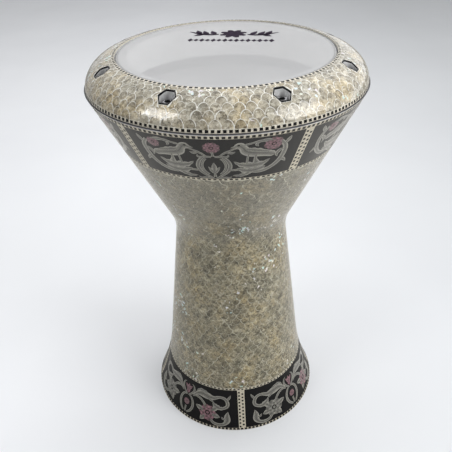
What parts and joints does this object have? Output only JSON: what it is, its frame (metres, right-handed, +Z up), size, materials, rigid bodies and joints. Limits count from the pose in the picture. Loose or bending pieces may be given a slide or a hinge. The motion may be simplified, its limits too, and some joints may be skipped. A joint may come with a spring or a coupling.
{
  "type": "goblet drum",
  "caption": "Goblet-shaped hand drum with an inlaid cast body, a translucent film head and a bolted tension ring round the head.",
  "frame": {"origin": "centre of the foot's bottom plane", "axes": "+Z up along the drum's axis, through the head"},
  "size_m": [0.2814, 0.2814, 0.4517],
  "materials": {
    "cast_body": "cast and lightly polished",
    "cast_ring": "cast, machined in the bores",
    "body_pearl": "shell chips in clear lacquer, scale pattern",
    "rim_pearl": "shell scales in clear lacquer, pale outlines",
    "black_lacquer": "gloss black",
    "checker": "cream strip with black squares, lacquered",
    "film": "translucent polyester film",
    "hoop_aluminium": "plain",
    "resin": "clear cast resin",
    "bolt_steel": "plated socket-head screw",
    "washer_steel": "plated"
  },
  "bodies": {
    "shell": {"shell": "cast_body", "shell_top_checker": "checker", "bowl_black_panels": "black_lacquer", "bowl_panel_dividers": "checker", "bowl_lower_checker": "checker", "body_pearl_mosaic": "body_pearl", "foot_upper_checker": "checker", "foot_black_panels": "black_lacquer", "foot_panel_dividers": "checker", "foot_lower_checker": "checker"},
    "tension_ring": {"tension_ring": "cast_ring", "rim_pearl_mosaic": "rim_pearl", "rim_lower_checker": "checker", "rim_inner_checker": "checker", "bolt_hex_frames": "black_lacquer", "bolt_washers": "washer_steel"},
    "head": {"drumhead_film": "film", "head_hoop": "hoop_aluminium", "head_resin": "resin"},
    "bolt_1": {"tension_bolt_1": "bolt_steel"},
    "bolt_2": {"tension_bolt_2": "bolt_steel"},
    "bolt_3": {"tension_bolt_3": "bolt_steel"},
    "bolt_4": {"tension_bolt_4": "bolt_steel"},
    "bolt_5": {"tension_bolt_5": "bolt_steel"},
    "bolt_6": {"tension_bolt_6": "bolt_steel"},
    "bolt_7": {"tension_bolt_7": "bolt_steel"},
    "bolt_8": {"tension_bolt_8": "bolt_steel"}
  },
  "joints": [
    {"name": "ring_lift", "type": "slide", "parent": "shell", "child": "tension_ring", "axis": [0, 0, 1], "range_m": [0, 0.018]},
    {"name": "head_lift", "type": "slide", "parent": "shell", "child": "head", "axis": [0, 0, 1], "range_m": [0, 0.009]},
    {"name": "bolt_1_turn", "type": "hinge", "parent": "tension_ring", "child": "bolt_1", "pos_m": [0.11317, 0.04688, 0.4368], "axis": [0, 0, 1], "range_deg": [0, 6480]},
    {"name": "bolt_2_turn", "type": "hinge", "parent": "tension_ring", "child": "bolt_2", "pos_m": [0.04688, 0.11317, 0.4368], "axis": [0, 0, 1], "range_deg": [0, 6480]},
    {"name": "bolt_3_turn", "type": "hinge", "parent": "tension_ring", "child": "bolt_3", "pos_m": [-0.04688, 0.11317, 0.4368], "axis": [0, 0, 1], "range_deg": [0, 6480]},
    {"name": "bolt_4_turn", "type": "hinge", "parent": "tension_ring", "child": "bolt_4", "pos_m": [-0.11317, 0.04688, 0.4368], "axis": [0, 0, 1], "range_deg": [0, 6480]},
    {"name": "bolt_5_turn", "type": "hinge", "parent": "tension_ring", "child": "bolt_5", "pos_m": [-0.11317, -0.04688, 0.4368], "axis": [0, 0, 1], "range_deg": [0, 6480]},
    {"name": "bolt_6_turn", "type": "hinge", "parent": "tension_ring", "child": "bolt_6", "pos_m": [-0.04688, -0.11317, 0.4368], "axis": [0, 0, 1], "range_deg": [0, 6480]},
    {"name": "bolt_7_turn", "type": "hinge", "parent": "tension_ring", "child": "bolt_7", "pos_m": [0.04688, -0.11317, 0.4368], "axis": [0, 0, 1], "range_deg": [0, 6480]},
    {"name": "bolt_8_turn", "type": "hinge", "parent": "tension_ring", "child": "bolt_8", "pos_m": [0.11317, -0.04688, 0.4368], "axis": [0, 0, 1], "range_deg": [0, 6480]}
  ],
  "couplings": [
    {"joint": "head_lift", "follows": "ring_lift", "ratio": 0.5},
    {"joint": "bolt_1_turn", "follows": "ring_lift", "rad_per_m": 6283.2},
    {"joint": "bolt_2_turn", "follows": "ring_lift", "rad_per_m": 6283.2},
    {"joint": "bolt_3_turn", "follows": "ring_lift", "rad_per_m": 6283.2},
    {"joint": "bolt_4_turn", "follows": "ring_lift", "rad_per_m": 6283.2},
    {"joint": "bolt_5_turn", "follows": "ring_lift", "rad_per_m": 6283.2},
    {"joint": "bolt_6_turn", "follows": "ring_lift", "rad_per_m": 6283.2},
    {"joint": "bolt_7_turn", "follows": "ring_lift", "rad_per_m": 6283.2},
    {"joint": "bolt_8_turn", "follows": "ring_lift", "rad_per_m": 6283.2}
  ]
}
